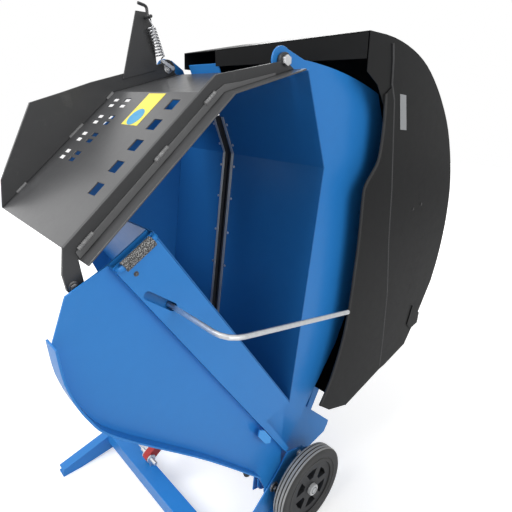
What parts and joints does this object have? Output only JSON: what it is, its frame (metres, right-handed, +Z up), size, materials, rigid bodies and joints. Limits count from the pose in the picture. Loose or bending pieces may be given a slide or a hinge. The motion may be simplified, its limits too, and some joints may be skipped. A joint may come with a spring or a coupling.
{
  "type": "firewood circular saw",
  "caption": "Firewood saw with a rocking V trough on a low pivot, a sheet flap over the wood, a blade under a black hood, and two wheels.",
  "frame": {"origin": "middle of the machine's bounding box, on the ground", "axes": "+X along the blade's axis to the near end with the length stop, +Y back to the hood, +Z up"},
  "size_m": [0.8378, 1.3154, 1.4029],
  "materials": {
    "bright_steel": "turned",
    "blue_paint": "semi-gloss powder coat",
    "black_paint": "gloss powder coat",
    "knob_plastic": "satin",
    "belt_rubber": "matt",
    "dark_grey_paint": "semi-gloss powder coat",
    "zinc": "zinc plated",
    "spring_steel": "bright wire",
    "grip_plastic": "speckled",
    "cap_plastic": "satin",
    "galvanised": "galvanised",
    "motor_grey": "painted",
    "box_plastic": "fine texture",
    "wheel_plastic": "satin",
    "blade_steel": "ground",
    "green_plastic": "gloss",
    "red_plastic": "gloss",
    "red_paint": "semi-gloss",
    "tyre": "matt"
  },
  "bodies": {
    "frame": {"axle": "bright_steel", "bearing_far": "bright_steel", "bearing_housing": "blue_paint", "bearing_near": "bright_steel", "belt_guard": "black_paint", "cross_box": "blue_paint", "cross_rail": "blue_paint", "drive_belt": "belt_rubber", "guard_back": "black_paint", "hood_far_plate": "black_paint", "hood_front_panel": "black_paint", "hood_header": "black_paint", "hood_near_plate": "black_paint", "hood_wrap": "black_paint", "latch_bolt": "zinc", "leg_far": "blue_paint", "leg_near": "blue_paint", "motor_case": "motor_grey", "pedestal": "blue_paint", "pivot_shaft": "bright_steel", "power_inlet": "box_plastic", "rear_stand": "blue_paint", "side_plate_far": "blue_paint", "side_plate_near": "blue_paint", "switch_box": "box_plastic"},
    "cradle": {"trough": "blue_paint", "bridge_bracket": "blue_paint", "cradle_front_plate": "blue_paint", "sector_plate": "blue_paint", "far_arm": "blue_paint", "rim_band": "blue_paint", "end_strip": "blue_paint", "handle_bar": "blue_paint", "handle_sleeve": "grip_plastic", "stop_guide": "blue_paint", "hinge_bolt_near": "zinc", "hinge_bolt_far": "zinc", "far_hinge_bracket": "blue_paint"},
    "flap": {"flap_sheet": "dark_grey_paint", "near_rib": "dark_grey_paint", "far_rib": "dark_grey_paint", "spring_bracket": "dark_grey_paint", "flap_spring": "spring_steel"},
    "length_stop": {"length_stop": "galvanised"},
    "clamp_knob": {"clamp_knob": "knob_plastic"},
    "latch": {"transport_latch": "red_paint"},
    "wheel_near": {"tyre_near": "tyre", "rim_near": "wheel_plastic", "hub_cap_near": "cap_plastic"},
    "wheel_far": {"tyre_far": "tyre", "rim_far": "wheel_plastic", "hub_cap_far": "cap_plastic"},
    "arbor": {"saw_blade": "blade_steel", "arbor_shaft": "bright_steel", "flange_nut": "zinc", "arbor_pulley": "bright_steel"},
    "motor_rotor": {"motor_shaft": "bright_steel", "motor_pulley": "bright_steel"},
    "start_button": {"start_button": "green_plastic"},
    "stop_button": {"stop_button": "red_plastic"}
  },
  "joints": [
    {"name": "cradle_rock", "type": "hinge", "parent": "frame", "child": "cradle", "pos_m": [-0.04895, -0.16137, 0.15], "axis": [-1, 0, 0], "range_deg": [0, 24]},
    {"name": "flap_lift", "type": "hinge", "parent": "cradle", "child": "flap", "pos_m": [-0.04895, -0.12737, 1.253], "axis": [1, 0, 0], "range_deg": [-75, 0], "deforming": ["flap_spring"]},
    {"name": "stop_slide", "type": "slide", "parent": "cradle", "child": "length_stop", "axis": [1, 0, 0], "range_m": [-0.12, 0.05]},
    {"name": "clamp_turn", "type": "hinge", "parent": "cradle", "child": "clamp_knob", "pos_m": [0.18305, -0.47073, 0.80997], "axis": [0, -0.8453, -0.5342], "continuous": true},
    {"name": "latch_turn", "type": "hinge", "parent": "frame", "child": "latch", "pos_m": [-0.04895, -0.35137, 0.118], "axis": [1, 0, 0], "range_deg": [-10, 75]},
    {"name": "wheel_near_spin", "type": "hinge", "parent": "frame", "child": "wheel_near", "pos_m": [0.29505, -0.06937, 0.125], "axis": [1, 0, 0], "continuous": true},
    {"name": "wheel_far_spin", "type": "hinge", "parent": "frame", "child": "wheel_far", "pos_m": [-0.39295, -0.06937, 0.125], "axis": [1, 0, 0], "continuous": true},
    {"name": "blade_spin", "type": "hinge", "parent": "frame", "child": "arbor", "pos_m": [-0.08095, 0.29363, 0.72], "axis": [1, 0, 0], "continuous": true},
    {"name": "motor_spin", "type": "hinge", "parent": "frame", "child": "motor_rotor", "pos_m": [-0.34895, 0.15063, 0.185], "axis": [1, 0, 0], "continuous": true},
    {"name": "start_press", "type": "slide", "parent": "frame", "child": "start_button", "axis": [1, 0, 0], "range_m": [0, 0.005], "stiffness_N_per_m": 300},
    {"name": "stop_press", "type": "slide", "parent": "frame", "child": "stop_button", "axis": [1, 0, 0], "range_m": [0, 0.005], "stiffness_N_per_m": 300}
  ],
  "couplings": [
    {"joint": "motor_spin", "follows": "blade_spin", "ratio": 1.7647}
  ]
}
